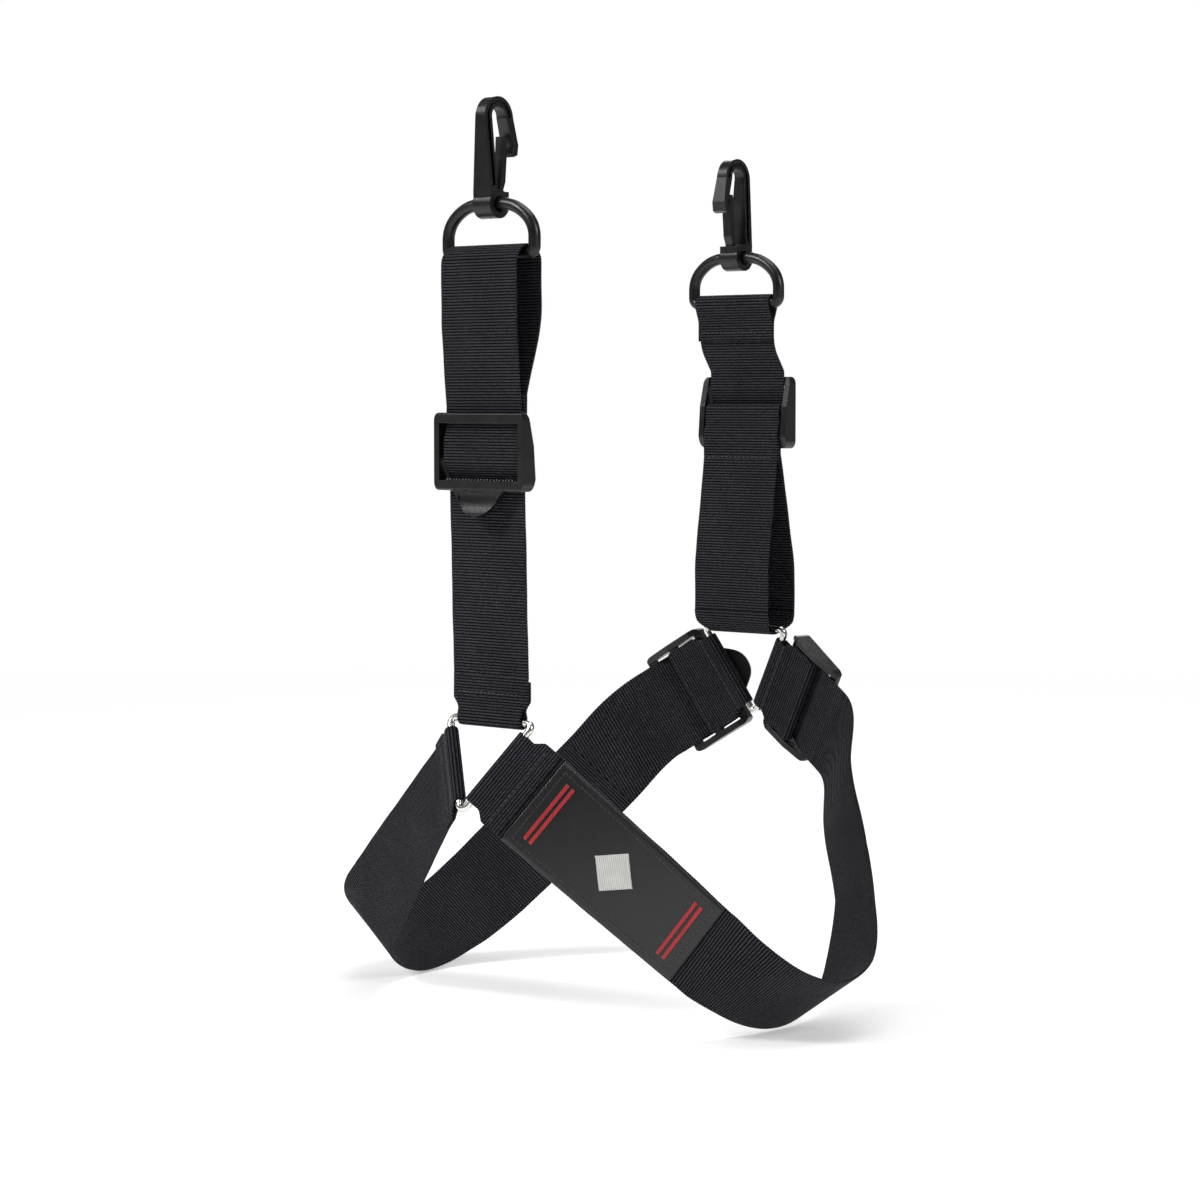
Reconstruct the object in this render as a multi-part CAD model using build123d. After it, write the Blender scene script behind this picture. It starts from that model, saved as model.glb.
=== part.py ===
"""Webbing harness with two snap hooks and two leg loops, in millimetres.

X runs across the harness (the wearer's left to right), Y from the front strap to the
rear strap, and Z up. The origin is the seat inside the crown of the front snap hook,
where the hung harness carries its load.
"""
import os
from math import atan2, cos, pi, radians, sin, tan

from build123d import *

os.makedirs("parts", exist_ok=True)

# ---------------------------------------------------------------- driving dimensions
webbing_width = 50.0
webbing_thickness = 1.45
layer_gap = 0.08             # air left between neighbouring layers and hardware
half_web = webbing_thickness / 2

ring_side = 57.0             # triangle ring, corner to corner on the wire's centreline
ring_wire_radius = 1.9
ring_corner_radius = 3.0
ring_height = ring_side * sin(radians(60))
front_ring_tilt = 27.0       # the front ring's lower corner kicks out to the front
rear_ring_tilt = 11.0        # the rear ring's lower corner kicks out to the rear
front_leg_swing = 33.0       # leg strap swung backwards out of the front ring's plane
rear_leg_swing = 19.0        # leg strap swung forwards out of the rear ring's plane

ring_spacing = 199.0         # front ring's top side to the rear ring's, along Y
ring_rise = 35.0             # the rear ring hangs this much higher
fold_narrowing = 2.6         # webbing gathers in by this at each edge where it rounds a ring
fold_sewn_end = 20.0         # sewn tail, measured from the wire
fold_stitch = 13.5           # stitch row, measured from the wire

slider_inner_width = 52.2
slider_rail = 3.4
slider_half_length = 19.0
slider_face = -3.0           # depth of the slider's face in front of its own origin
slider_bar = 5.0             # the top and lower bars, along the strap
top_bar_back = 0.5
lower_bar_back = 3.0
middle_bar_front = 1.5
middle_bar_back = 4.5
middle_bar_half = 3.0
middle_bar_round = 1.4
tab_reach = 11.5
tab_half_root = 17.0
tooth_count = 22
tail_sewn = 27.0             # sewn tail past the middle bar
tail_stitch = 24.0
leg_tail_sewn = 20.5
leg_tail_stitch = 18.5
leg_stitch_depth = 8.6       # the loop's inner layer slopes away from the slider here

d_ring_wire_radius = 3.0
d_ring_inner_width = 51.0
d_ring_height = 24.0         # bar to crown, centreline
d_ring_corner = 3.15

hook_eye_hole = 3.8
hook_eye_outer = 7.0
hook_length = 59.0
hook_eye_width = 11.5
hook_crown_width = 6.0
hook_seat_radius = 5.0
hook_crown_outer = 10.0
hook_crown_depth = 2.5       # crown centre behind the eye centre
hook_web = 3.2                         # wall left between the two side channels
hook_channel_width = 1.9
gate_width = 5.0
gate_top = 33.0
gate_root_radius = 1.1
gate_pivot = (5.1, 7.2)       # depth and height above the eye centre

front_slider_height = 131.5  # above the front ring's top side
front_slider_depth = -6.8
front_bar_height = 227.3     # D-ring bar
front_loop_half_gap = 8.9
rear_slider_height = 115.0   # above the rear ring's top side
rear_slider_depth = -3.0
rear_bar_height = 173.0
rear_top_depth = -8.0        # the rear strap's upper end leans forwards
rear_loop_half_gap = 11.5

label_start = 23.0           # along the leg strap, from the ring wire
label_length = 106.0
label_thickness = 0.7
label_border = 4.0
thread = 0.5
motif_bar_inset = 9.0
motif_bar_pitch = 3.5
motif_bar_width = 34.0
motif_lozenge = 24.0


# ---------------------------------------------------------------- helpers
# Strap parts are drawn edge-on: depth along X, length along Y, width along Z.
def unit(v):
    return v / v.length


def rounded_route(corners):
    """Straight runs and arcs through (depth, along, radius) corners."""
    runs = []
    here = Vector(corners[0][0], corners[0][1])
    for i in range(1, len(corners) - 1):
        before, corner, after = (Vector(c[0], c[1]) for c in corners[i - 1:i + 2])
        into, out = unit(corner - before), unit(after - corner)
        turn = atan2(into.X * out.Y - into.Y * out.X, into.dot(out))
        cut = corners[i][2] * tan(abs(turn) / 2)
        runs.append((here, corner - into * cut, into, into, 0))
        runs.append((corner - into * cut, corner + out * cut, into, out, turn))
        here = corner + out * cut
    last = Vector(corners[-1][0], corners[-1][1])
    direction = unit(last - here)
    runs.append((here, last, direction, direction, 0))
    return runs


def side_of_route(runs, distance):
    """Edges of a rounded route, shifted to its left by a distance."""
    edges = []
    for start, end, into, out, turn in runs:
        a = start + Vector(-into.Y, into.X) * distance
        b = end + Vector(-out.Y, out.X) * distance
        if turn == 0 and (b - a).length < 1e-4:
            continue
        if turn == 0:
            edges.append(Line((a.X, a.Y), (b.X, b.Y)))
        else:
            radius = (end - start).length / (2 * sin(abs(turn) / 2))
            side = 1 if turn > 0 else -1
            hub = start + Vector(-into.Y, into.X) * (side * radius)
            halfway = into.rotate(Axis.Z, turn * 90 / pi)
            middle = hub + Vector(-halfway.Y, halfway.X) * (distance - side * radius)
            edges.append(ThreePointArc((a.X, a.Y), (middle.X, middle.Y), (b.X, b.Y)))
    return edges


def webbing_along(corners):
    """Webbing seen edge-on: depth along X, length along Y, width along Z both ways."""
    runs = rounded_route(corners)
    left = side_of_route(runs, half_web)
    right = side_of_route(runs, -half_web)
    ends = [Line(left[0] @ 0, right[0] @ 0), Line(left[-1] @ 1, right[-1] @ 1)]
    outline = make_face(Curve() + (left + right + ends))
    return extrude(outline, webbing_width / 2, both=True)


def face_on(depth):
    """Plane for outlines seen face-on, as (across, along), that extrude in depth."""
    return Plane(origin=(depth, 0, 0), x_dir=(0, 0, -1), z_dir=(1, 0, 0)).location


def gathered(depth, along):
    """The two edge wedges trimmed off a fold, where the webbing gathers in at a wire."""
    half, inner = webbing_width / 2, webbing_width / 2 - fold_narrowing
    wedge = Polygon(
        (half + 1, along - 6), (inner, along - 6), (inner, along + 4), (half, along + 10),
        (half + 1, along + 10), align=None)
    upper = face_on(depth) * extrude(wedge, 15, both=True)
    return upper + mirror(upper, about=Plane.XY)


def stitch_row(depth, along):
    """A row of lockstitch standing just clear of a webbing face."""
    row = Box(thread, 1.2, webbing_width - 5)
    return Pos(depth, along, 0) * row


def fold_route(radius, main_side, end):
    """Corners of webbing folded round a wire at the origin and sewn back on itself."""
    near, far = half_web + layer_gap / 2, radius
    turn_in = radius + 6
    return [
        (-main_side * near, fold_sewn_end, 0), (-main_side * near, turn_in, 5),
        (-main_side * far, 1.5, 5), (-main_side * far, -far, far),
        (main_side * far, -far, far), (main_side * far, 1.5, 5),
        (main_side * near, turn_in, 5), (main_side * near, end, 0)]


def place(shape, origin, depth_dir, width_dir):
    return Plane(origin=origin, x_dir=depth_dir, z_dir=width_dir).location * shape


# ---------------------------------------------------------------- rings
def triangle_ring():
    """Triangle ring: top side along X through the origin, lower corner straight down."""
    corners = [(-ring_side / 2, 0), (ring_side / 2, 0), (0, -ring_height)]
    outline = fillet(Polygon(*corners, align=None).vertices(), ring_corner_radius)
    path = outline.face().outer_wire()
    start = Plane(origin=path @ 0, z_dir=path % 0)
    ring = sweep(start * Circle(ring_wire_radius), path=path)
    return Rot(90, 0, 0) * ring


def d_ring():
    """D-ring: straight bar along X through the origin, arch above."""
    half = d_ring_inner_width / 2 + d_ring_wire_radius
    corners = [
        (0, 0, 0), (half, 0, d_ring_corner), (half, 13.0, 13.4), (half - 11, d_ring_height, 24.0),
        (11 - half, d_ring_height, 24.0), (-half, 13.0, 13.4), (-half, 0, d_ring_corner), (0, 0, 0)]
    path = Wire(side_of_route(rounded_route(corners), 0))
    start = Plane(origin=path @ 0, z_dir=path % 0)
    return Rot(90, 0, 0) * sweep(start * Circle(d_ring_wire_radius), path=path)


# ---------------------------------------------------------------- slider
def slider():
    """Slider drawn edge-on: face at negative depth, thumb tab at the lower end."""
    half, inner = slider_half_length, slider_inner_width / 2
    outer, low = inner + slider_rail, -half
    side = Polygon(
        (slider_face, half), (top_bar_back + 0.8, half), (middle_bar_back + 0.6, 3.0),
        (middle_bar_back + 1.8, low + 6), (middle_bar_back, low), (slider_face, low), align=None)
    body = extrude(fillet(side.vertices(), 1.2), outer, both=True)
    window = Box(30, 2 * (half - slider_bar), 2 * inner)
    behind_top = Pos(top_bar_back + 10, half, 0) * Box(20, 4 * slider_bar, 2 * inner)
    behind_low = Pos(lower_bar_back + 10, low, 0) * Box(20, 4 * slider_bar, 2 * inner)
    body = body - window - behind_top - behind_low
    rounding = RectangleRounded(2 * outer, 2 * half + 2, 5)
    body = body & (face_on(-20) * extrude(rounding, 40))
    bar = Polygon(
        (middle_bar_front, middle_bar_half), (middle_bar_back, middle_bar_half),
        (middle_bar_back, -middle_bar_half), (middle_bar_front, -middle_bar_half), align=None)
    body = body + extrude(fillet(bar.vertices(), middle_bar_round), inner + 0.5, both=True)
    tooth = extrude(Polygon((slider_face + 0.7, -0.3), (lower_bar_back - 2.5, -0.3),
                            (slider_face + 1.4, 1.0), align=None), 0.5, both=True)
    pitch = (slider_inner_width - 7) / tooth_count
    for i in range(tooth_count):
        body = body + Pos(0, low + slider_bar, (i - (tooth_count - 1) / 2) * pitch) * tooth
    tab = make_face(Curve() + [
        Line((-tab_half_root, 0.6), (tab_half_root, 0.6)),
        Line((tab_half_root, 0.6), (tab_half_root, 0)),
        Spline((tab_half_root, 0), (tab_half_root - 4.5, -5), (6, -tab_reach), (-6, -tab_reach),
               (4.5 - tab_half_root, -5), (-tab_half_root, 0)),
        Line((-tab_half_root, 0), (-tab_half_root, 0.6))])
    plate = face_on(0) * extrude(tab, 2.6)
    trough = Pos(-13.1, -6.0, 0) * Cylinder(14.0, 2 * tab_half_root - 9)
    plate = Rot(0, 0, -14) * (plate - trough)
    return body + Pos(slider_face, low + 0.3, 0) * plate


# ---------------------------------------------------------------- snap hook
def hook_outline_width():
    """The hook seen from its back: wide at the eye, narrow at the crown."""
    top = hook_length - hook_eye_outer
    return Polygon(
        (-hook_eye_width / 2, -hook_eye_outer - 1), (hook_eye_width / 2, -hook_eye_outer - 1),
        (hook_eye_width / 2, 6), (hook_crown_width / 2, top - 6), (hook_crown_width / 2, top + 1),
        (-hook_crown_width / 2, top + 1), (-hook_crown_width / 2, top - 6),
        (-hook_eye_width / 2, 6), align=None)


def hook_recess_outline(crown):
    """The channel sunk in each side of the hook: up the shank and over the crown."""
    middle_radius = (hook_crown_outer + hook_seat_radius) / 2
    outer = middle_radius + hook_channel_width / 2
    inner = middle_radius - hook_channel_width / 2
    centre = hook_crown_depth
    shank_outer = (-4.4, 8.0)
    shank_inner = (-2.4, 9.0)
    edges = [
        Line(shank_outer, (centre - outer, crown)),
        CenterArc((centre, crown), outer, 180, -180),
        Line((centre + outer, crown), (centre + inner, crown)),
        CenterArc((centre, crown), inner, 0, 180),
        Line((centre - inner, crown), shank_inner),
        Line(shank_inner, shank_outer)]
    return make_face(edges)


def snap_hook():
    """Snap hook drawn edge-on: eye centre at the origin, spine at negative depth."""
    crown = hook_length - hook_eye_outer - hook_crown_outer
    back = hook_crown_depth - hook_crown_outer
    shank = Polygon(
        (-6.2, -1.5), (back, crown), (hook_crown_depth - hook_seat_radius, crown),
        (-1.2, 6.5), (1.2, 6.0), (0, 0), align=None)
    shoulder = Polygon((2.6, 6.0), (6.6, 6.0), (6.6, 1.0), (2.6, 1.0), align=None)
    crown_ring = Pos(hook_crown_depth, crown) * (Circle(hook_crown_outer) - Circle(hook_seat_radius))
    crown_half = crown_ring - Pos(hook_crown_depth, crown - 20) * Rectangle(60, 40)
    nose = Polygon(
        (hook_crown_depth + hook_seat_radius, crown), (hook_crown_depth + hook_crown_outer, crown),
        (15.2, 29), (14.2, 24.2), (11.6, 23.2), (10.4, 25.5), (12.2, 28.2), (10.4, 33), align=None)
    eye = Circle(hook_eye_outer)
    outline = shank + crown_half + nose + eye + shoulder - Circle(hook_eye_hole)
    body = extrude(outline, hook_eye_width, both=True)
    recess = extrude(hook_recess_outline(crown), hook_eye_width)
    for side in (Pos(0, 0, hook_web / 2), Pos(0, 0, -hook_web / 2 - hook_eye_width)):
        body = body - side * recess
    taper = face_on(-30) * extrude(hook_outline_width(), 60)
    return body & taper


def hook_gate():
    """Leaf gate: rises from the eye's shoulder to just inside the nose."""
    depth, height = gate_pivot
    leaf = Polygon(
        (depth - gate_root_radius, height), (depth + gate_root_radius, height), (7.7, 11), (8.7, 24),
        (8.7, gate_top), (6.1, gate_top), (5.6, 24), (4.3, 11), align=None)
    root = Pos(depth, height) * Circle(gate_root_radius)
    return extrude(leaf + root, gate_width / 2, both=True)


# ---------------------------------------------------------------- routes through a slider
wrap = half_web + layer_gap
wrap_front, wrap_back = middle_bar_front - wrap, middle_bar_back + wrap
wrap_end = middle_bar_half + wrap
wrap_round = middle_bar_round + wrap
main_front = wrap_front - webbing_thickness - layer_gap
main_low = lower_bar_back + wrap
main_top = top_bar_back + wrap
tail_depth = wrap_back - webbing_thickness - layer_gap

# the long strap on its way through: behind the lower bar, over the middle, behind the top
through_slider = [
    (main_low, -22, 4), (main_low, -13, 4), (main_front, -5.2, 3.5), (main_front, 5.2, 3.5),
    (main_top, 12.5, 4), (main_top, 22, 4)]

# the sewn end when the loop is on the top bar's side, from the loop to the tail
end_from_above = [
    (wrap_back, 28, 4), (wrap_back, -wrap_end, wrap_round), (wrap_front, -wrap_end, wrap_round),
    (wrap_front, wrap_end, wrap_round), (tail_depth, wrap_end, 0.78), (tail_depth, tail_sewn, 0)]

# the same when the loop is on the thumb tab's side: both layers step back past the lower bar
step_tail = main_low + webbing_thickness + 0.12
step_end = step_tail + webbing_thickness + 0.18
end_from_below = [
    (step_end, -24, 4), (step_end, -11.2, 4), (wrap_back + 0.05, -6, 4),
    (wrap_back, wrap_end, wrap_round), (wrap_front, wrap_end, wrap_round),
    (wrap_front, -wrap_end, wrap_round), (tail_depth, -wrap_end, 0.78),
    (tail_depth, -7.2, 3), (step_tail, -12.2, 3), (step_tail, -tail_sewn, 0)]

fold_radius = ring_wire_radius + wrap


def front_strap_corners():
    """Front strap: sewn at the ring, up through the slider, over the D-ring bar, back."""
    z, y = front_slider_height, front_slider_depth
    bar, gap = front_bar_height, front_loop_half_gap
    top = bar + d_ring_wire_radius + wrap
    fold = fold_route(fold_radius, -1, fold_sewn_end + 4)
    fold[-1] = fold[-1][:2] + (40,)
    up = [(y + d, z + a, r) for d, a, r in through_slider]
    loop = [(-gap, z + 62, 60), (-gap, top, gap), (gap, top, gap), (gap, z + 62, 60)]
    down = [(y + d, z + a, r) for d, a, r in end_from_above]
    return fold + up + loop + down


def rear_strap_corners():
    """Rear strap, with depth measured forwards: sewn at the D-ring, down through the
    slider, round the ring's top side and back up to the slider."""
    z, y = rear_slider_height, rear_slider_depth
    bar, gap = rear_bar_height, rear_loop_half_gap
    radius = d_ring_wire_radius + wrap
    near = half_web + layer_gap / 2
    centre = -rear_top_depth
    fold = [
        (centre + near, bar - fold_sewn_end, 0), (centre + near, bar - radius - 6, 5),
        (centre + radius, bar - 1.5, 5), (centre + radius, bar + radius, radius),
        (centre - radius, bar + radius, radius), (centre - radius, bar - 1.5, 5),
        (centre - near, bar - radius - 6, 5), (centre - near, bar - fold_sewn_end - 3, 20)]
    down = [(y + d, z + a, r) for d, a, r in through_slider[::-1]]
    bottom = -fold_radius
    loop = [(-gap, 34, 60), (-gap, bottom, gap), (gap, bottom, gap), (gap, 34, 60)]
    up = [(y + d, z + a, r) for d, a, r in end_from_below]
    return fold + down + loop + up


ring_drop = slider_half_length + 5.0     # leg slider's centre to the rear ring's wire
ring_depth = main_low + fold_radius
leg_route_end = 24.0


def leg_loop_corners():
    """Leg strap's short loop at the rear ring, in the slider's own depth and length."""
    down = [(main_top, leg_route_end, 0)] + through_slider[-2:0:-1]
    right = ring_depth + fold_radius
    low = -ring_drop - fold_radius
    round_ring = [(main_low, low, fold_radius), (right, low, fold_radius), (right, 1.5 - ring_drop, 3)]
    back = [(wrap_back + 0.05, -5.0, 4)] + end_from_below[3:-1] + [(step_tail, -leg_tail_sewn, 0)]
    return down + round_ring + back


# ---------------------------------------------------------------- where things stand
front_ring_plane = Vector(0, cos(radians(front_ring_tilt)), -sin(radians(front_ring_tilt)))
rear_ring_plane = Vector(0, cos(radians(rear_ring_tilt)), sin(radians(rear_ring_tilt)))
rear_ring_at = Vector(0, ring_spacing, ring_rise)


def ring_side_frame(top, tilt_vector, swing):
    """Middle of the ring's right side, the strap's direction off it, and across the webbing."""
    corner_up = top + Vector(ring_side / 2, 0, 0)
    down = unit(Vector(1, 0, 0).cross(tilt_vector)) * -ring_height
    corner_low = top + down
    across = unit(corner_up - corner_low)
    outward = unit(across.cross(tilt_vector))
    if outward.X < 0:
        outward = outward * -1
    angle = radians(swing)
    along = unit(outward * cos(angle) + tilt_vector * sin(angle))
    return (corner_up + corner_low) / 2, along, across


front_side, front_along, front_across = ring_side_frame(
    Vector(0, 0, 0), front_ring_plane, front_leg_swing)
rear_side, rear_along, rear_across = ring_side_frame(
    rear_ring_at, rear_ring_plane, -rear_leg_swing)
front_outer = unit(front_along.cross(front_across))
rear_inner = unit(rear_along.cross(rear_across))
leg_slider_at = rear_side + rear_along * ring_drop - rear_inner * ring_depth

# middle of the webbing and the direction across it, round the leg
leg_stations = [
    ((137, 72, -134), (0.83, 0.06, 0.55)),
    ((136, 103, -128), (0.81, -0.02, 0.58)),
    ((122, 131, -106), (0.72, -0.20, 0.66)),
    ((107, 151, -82), (0.62, -0.33, 0.71)),
    ((78, 178, -42), (0.60, -0.36, 0.71)),
]
label_twist = Vector(0.82, 0.15, 0.56)
straight_run = 134.0


def web_section(centre, along, across, width=webbing_width, thickness=webbing_thickness,
                lift=0.0, shift=0.0):
    """Rectangle across the webbing; lift moves it out of the outer face, shift sideways."""
    across = unit(across - along * across.dot(along))
    middle = centre + along.cross(across) * lift + across * shift
    return Plane(origin=middle, x_dir=across, z_dir=along) * Rectangle(width, thickness)


def straight_section(distance, **size):
    """A section on the leg strap's straight front run, which twists slightly as it goes."""
    share = (distance - fold_sewn_end) / (straight_run - fold_sewn_end)
    across = unit(front_across * (1 - share) + unit(label_twist) * share)
    centre = front_side + front_along * distance - front_outer * (half_web + layer_gap / 2)
    return web_section(centre, front_along, across, **size)


def leg_strap():
    """Right leg strap: sewn fold, straight run, loop round the leg, slider loop."""
    fold = webbing_along(fold_route(fold_radius, -1, fold_sewn_end))
    fold = fold - gathered(0, 0)
    fold = place(fold, front_side, front_outer, front_across)
    distances = [fold_sewn_end, 60, 97, straight_run]
    run = loft([straight_section(d) for d in distances], ruled=True)
    slider_loop = webbing_along(leg_loop_corners()) - gathered(ring_depth, -ring_drop)
    slider_loop = place(slider_loop, leg_slider_at, rear_inner, rear_across)
    last = leg_slider_at + rear_along * leg_route_end + rear_inner * main_top
    first = front_side + front_along * straight_run - front_outer * (half_web + layer_gap / 2)
    points = [first, first + front_along * 8] + [Vector(*p) for p, _ in leg_stations]
    points += [last + rear_along * 8, last]
    across = [label_twist, label_twist] + [Vector(*a) for _, a in leg_stations]
    across += [rear_across, rear_across]
    path = Spline(*points)
    stops = [0] + [path.param_at_point(p) for p in points[1:-1]] + [1]
    sections = [straight_section(straight_run)]
    for i in range(len(stops) - 1):
        for share in ((0.5, 1) if 0 < i < len(stops) - 2 else (1,)):
            at = stops[i] * (1 - share) + stops[i + 1] * share
            turned = across[i] * (1 - share) + across[i + 1] * share
            sections.append(web_section(path @ at, path % at, turned))
    sections[-1] = web_section(last, -rear_along, rear_across)
    bend = loft(sections)
    return fold + run + bend + slider_loop


# ---------------------------------------------------------------- label
def on_label(start, end, thickness, level, width, shift=0.0):
    """A thin strip following the label's run, from one distance to another."""
    lift = half_web + layer_gap + level + thickness / 2
    distances = [start, (start + end) / 2, end]
    return loft([straight_section(d, width=width, thickness=thickness, lift=lift, shift=shift)
                 for d in distances], ruled=True)


label_end = label_start + label_length
thread_level = label_thickness + layer_gap


def label_patch():
    return on_label(label_start, label_end, label_thickness, 0, webbing_width - 1)


def label_border_stitching():
    """Four rows of thread just inside the label's edges."""
    inset = webbing_width / 2 - label_border
    first, last = label_start + label_border, label_end - label_border
    rows = [on_label(first, last, thread, thread_level, 1.0, side * inset) for side in (1, -1)]
    ends = [on_label(d - 0.5, d + 0.5, thread, thread_level, 2 * inset - 2) for d in (first, last)]
    return Compound(rows + ends)


def label_motif():
    """Plain embroidery: two bars across each end and a lozenge in the middle."""
    middle = (label_start + label_end) / 2
    bars = []
    for end, step in ((label_start, 1), (label_end, -1)):
        for offset in (motif_bar_inset, motif_bar_inset + motif_bar_pitch):
            at = end + step * offset
            bars.append(on_label(at - 0.8, at + 0.8, thread, thread_level, motif_bar_width))
    lift = half_web + layer_gap + thread_level + thread / 2 + 0.12
    widths = ((-motif_lozenge / 2, 1.0), (0, motif_lozenge), (motif_lozenge / 2, 1.0))
    lozenge = loft([straight_section(middle + d, width=w, thickness=thread, lift=lift)
                    for d, w in widths], ruled=True)
    return Compound(bars + [lozenge])


# ---------------------------------------------------------------- sewn rows
near_face = webbing_thickness + layer_gap / 2 + layer_gap + thread / 2


def fold_stitching(along):
    """Both faces of a sewn fold, the wire being at the origin."""
    return Compound([stitch_row(side * near_face, along) for side in (1, -1)])


def slider_stitching(depth, along):
    return stitch_row(depth + half_web + layer_gap + thread / 2, along)


# ---------------------------------------------------------------- assembly
front_bar = Vector(0, 0, front_bar_height)
front_eye = front_bar + Vector(0, 0, d_ring_height)
rear_bar = rear_ring_at + Vector(0, rear_top_depth, rear_bar_height)
rear_eye = rear_bar + Vector(0, 0, d_ring_height)
crown_height = hook_length - hook_eye_outer - hook_crown_outer
origin = front_eye + Vector(0, hook_crown_depth, crown_height)

forwards, backwards, rightwards = Vector(0, -1, 0), Vector(0, 1, 0), Vector(1, 0, 0)
leftwards = rightwards * -1


def front(shape, at=Vector(0, 0, 0)):
    return place(shape, at, backwards, rightwards)


def rear(shape, at=rear_ring_at):
    return place(shape, at, forwards, leftwards)


def leg_slider(shape):
    return place(shape, leg_slider_at, rear_inner, rear_across)


def leg_fold(shape):
    return place(shape, front_side, front_outer, front_across)


front_slider_at = Vector(0, front_slider_depth, front_slider_height)
rear_slider_at = rear_ring_at + Vector(0, -rear_slider_depth, rear_slider_height)

nodes = {
    "front_ring": Rot(-front_ring_tilt, 0, 0) * triangle_ring(),
    "rear_ring": Pos(*rear_ring_at) * Rot(rear_ring_tilt, 0, 0) * triangle_ring(),
    "front_strap": front(webbing_along(front_strap_corners()) - gathered(0, 0)),
    "rear_strap": rear(webbing_along(rear_strap_corners()) - gathered(0, 0)),
    "right_leg_strap": leg_strap(),
    "front_slider": front(slider(), front_slider_at),
    "rear_slider": rear(slider(), rear_slider_at),
    "right_leg_slider": leg_slider(slider()),
    "front_d_ring": Pos(*front_bar) * d_ring(),
    "rear_d_ring": Pos(*rear_bar) * d_ring(),
    "front_hook": front(snap_hook(), front_eye),
    "rear_hook": rear(snap_hook(), rear_eye),
    "front_hook_gate": front(hook_gate(), front_eye),
    "rear_hook_gate": rear(hook_gate(), rear_eye),
    "label_patch": label_patch(),
    "label_border_stitching": label_border_stitching(),
    "label_motif": label_motif(),
    "front_ring_stitching": front(fold_stitching(fold_stitch)),
    "front_slider_stitching": front(slider_stitching(wrap_back, tail_stitch), front_slider_at),
    "rear_d_ring_stitching": Pos(*rear_bar) * front(fold_stitching(-fold_stitch - 2)),
    "rear_slider_stitching": rear(slider_stitching(step_end, -tail_stitch), rear_slider_at),
    "right_leg_ring_stitching": leg_fold(fold_stitching(fold_stitch)),
    "right_leg_slider_stitching": leg_slider(slider_stitching(leg_stitch_depth, -leg_tail_stitch)),
}
for name in ("leg_strap", "leg_slider", "leg_ring_stitching", "leg_slider_stitching"):
    nodes["left_" + name] = mirror(nodes["right_" + name], about=Plane.YZ)

for name, shape in nodes.items():
    export_step(Pos(*(origin * -1)) * shape, "parts/" + name + ".step")
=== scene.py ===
from math import atan2, cos, pi, radians, sin, tan

import bpy
import numpy as np
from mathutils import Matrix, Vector


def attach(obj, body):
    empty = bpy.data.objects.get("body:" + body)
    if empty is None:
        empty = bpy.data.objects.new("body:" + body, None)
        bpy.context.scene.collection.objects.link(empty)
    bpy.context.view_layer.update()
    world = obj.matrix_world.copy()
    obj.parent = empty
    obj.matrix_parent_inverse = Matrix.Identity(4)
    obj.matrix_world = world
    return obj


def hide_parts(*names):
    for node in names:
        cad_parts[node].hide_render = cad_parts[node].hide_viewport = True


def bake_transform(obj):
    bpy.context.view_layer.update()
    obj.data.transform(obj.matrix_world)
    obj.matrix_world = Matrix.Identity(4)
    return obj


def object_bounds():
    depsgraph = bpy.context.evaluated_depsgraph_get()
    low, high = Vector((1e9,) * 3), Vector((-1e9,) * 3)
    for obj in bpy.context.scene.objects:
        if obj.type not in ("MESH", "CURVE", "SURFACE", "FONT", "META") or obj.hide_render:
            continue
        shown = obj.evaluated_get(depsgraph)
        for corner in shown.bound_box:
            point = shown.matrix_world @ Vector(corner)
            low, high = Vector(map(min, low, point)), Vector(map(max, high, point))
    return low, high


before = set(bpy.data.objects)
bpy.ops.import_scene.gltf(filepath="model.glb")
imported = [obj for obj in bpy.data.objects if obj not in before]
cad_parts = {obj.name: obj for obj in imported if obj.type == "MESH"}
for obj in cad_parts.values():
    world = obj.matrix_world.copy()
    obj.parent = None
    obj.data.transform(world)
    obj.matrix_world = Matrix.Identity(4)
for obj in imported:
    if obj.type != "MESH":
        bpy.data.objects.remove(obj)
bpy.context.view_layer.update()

# ---------------------------------------------------------------- the harness's measures, in mm
# Everything below is drawn from the middle of the front ring's top side; ORIGIN is the
# front hook's seat seen from there, and MM turns the result into the shared frame.
MM = 0.001
ORIGIN = Vector((0, 2.5, 293.3))
WEBBING = 50.0
THICK = 1.45
GAP = 0.08
HALF = THICK / 2
RIB = 1.45                   # pitch of the cross ribs along the webbing
YARN = 1.0                   # pitch of the yarns across it
STEP = RIB / 4

RING_SIDE = 57.0
RING_HEIGHT = RING_SIDE * sin(radians(60))
FRONT_TILT, REAR_TILT = 27.0, 11.0
FRONT_SWING, REAR_SWING = 33.0, 19.0
REAR_RING = Vector((0, 199, 35))
FOLD_RADIUS = 1.9 + HALF + GAP
FOLD_END = 20.0
NARROWING = 3.9

BAR_FRONT, BAR_BACK, BAR_HALF, BAR_ROUND = 1.5, 4.5, 3.0, 1.4
WRAP = HALF + GAP
WRAP_FRONT, WRAP_BACK = BAR_FRONT - WRAP, BAR_BACK + WRAP
WRAP_END, WRAP_ROUND = BAR_HALF + WRAP, BAR_ROUND + WRAP
MAIN_FRONT = WRAP_FRONT - THICK - GAP
MAIN_LOW = 3.0 + WRAP
MAIN_TOP = 0.5 + WRAP
TAIL = WRAP_BACK - THICK - GAP
STEP_TAIL = MAIN_LOW + THICK + 0.12
STEP_END = STEP_TAIL + THICK + 0.18

FRONT_SLIDER = (-6.8, 131.5)
FRONT_BAR, FRONT_GAP = 227.3, 8.9
REAR_SLIDER = (-3.0, 115.0)
REAR_BAR, REAR_DEPTH, REAR_GAP = 173.0, 8.0, 11.5
D_WIRE = 3.0

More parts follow.
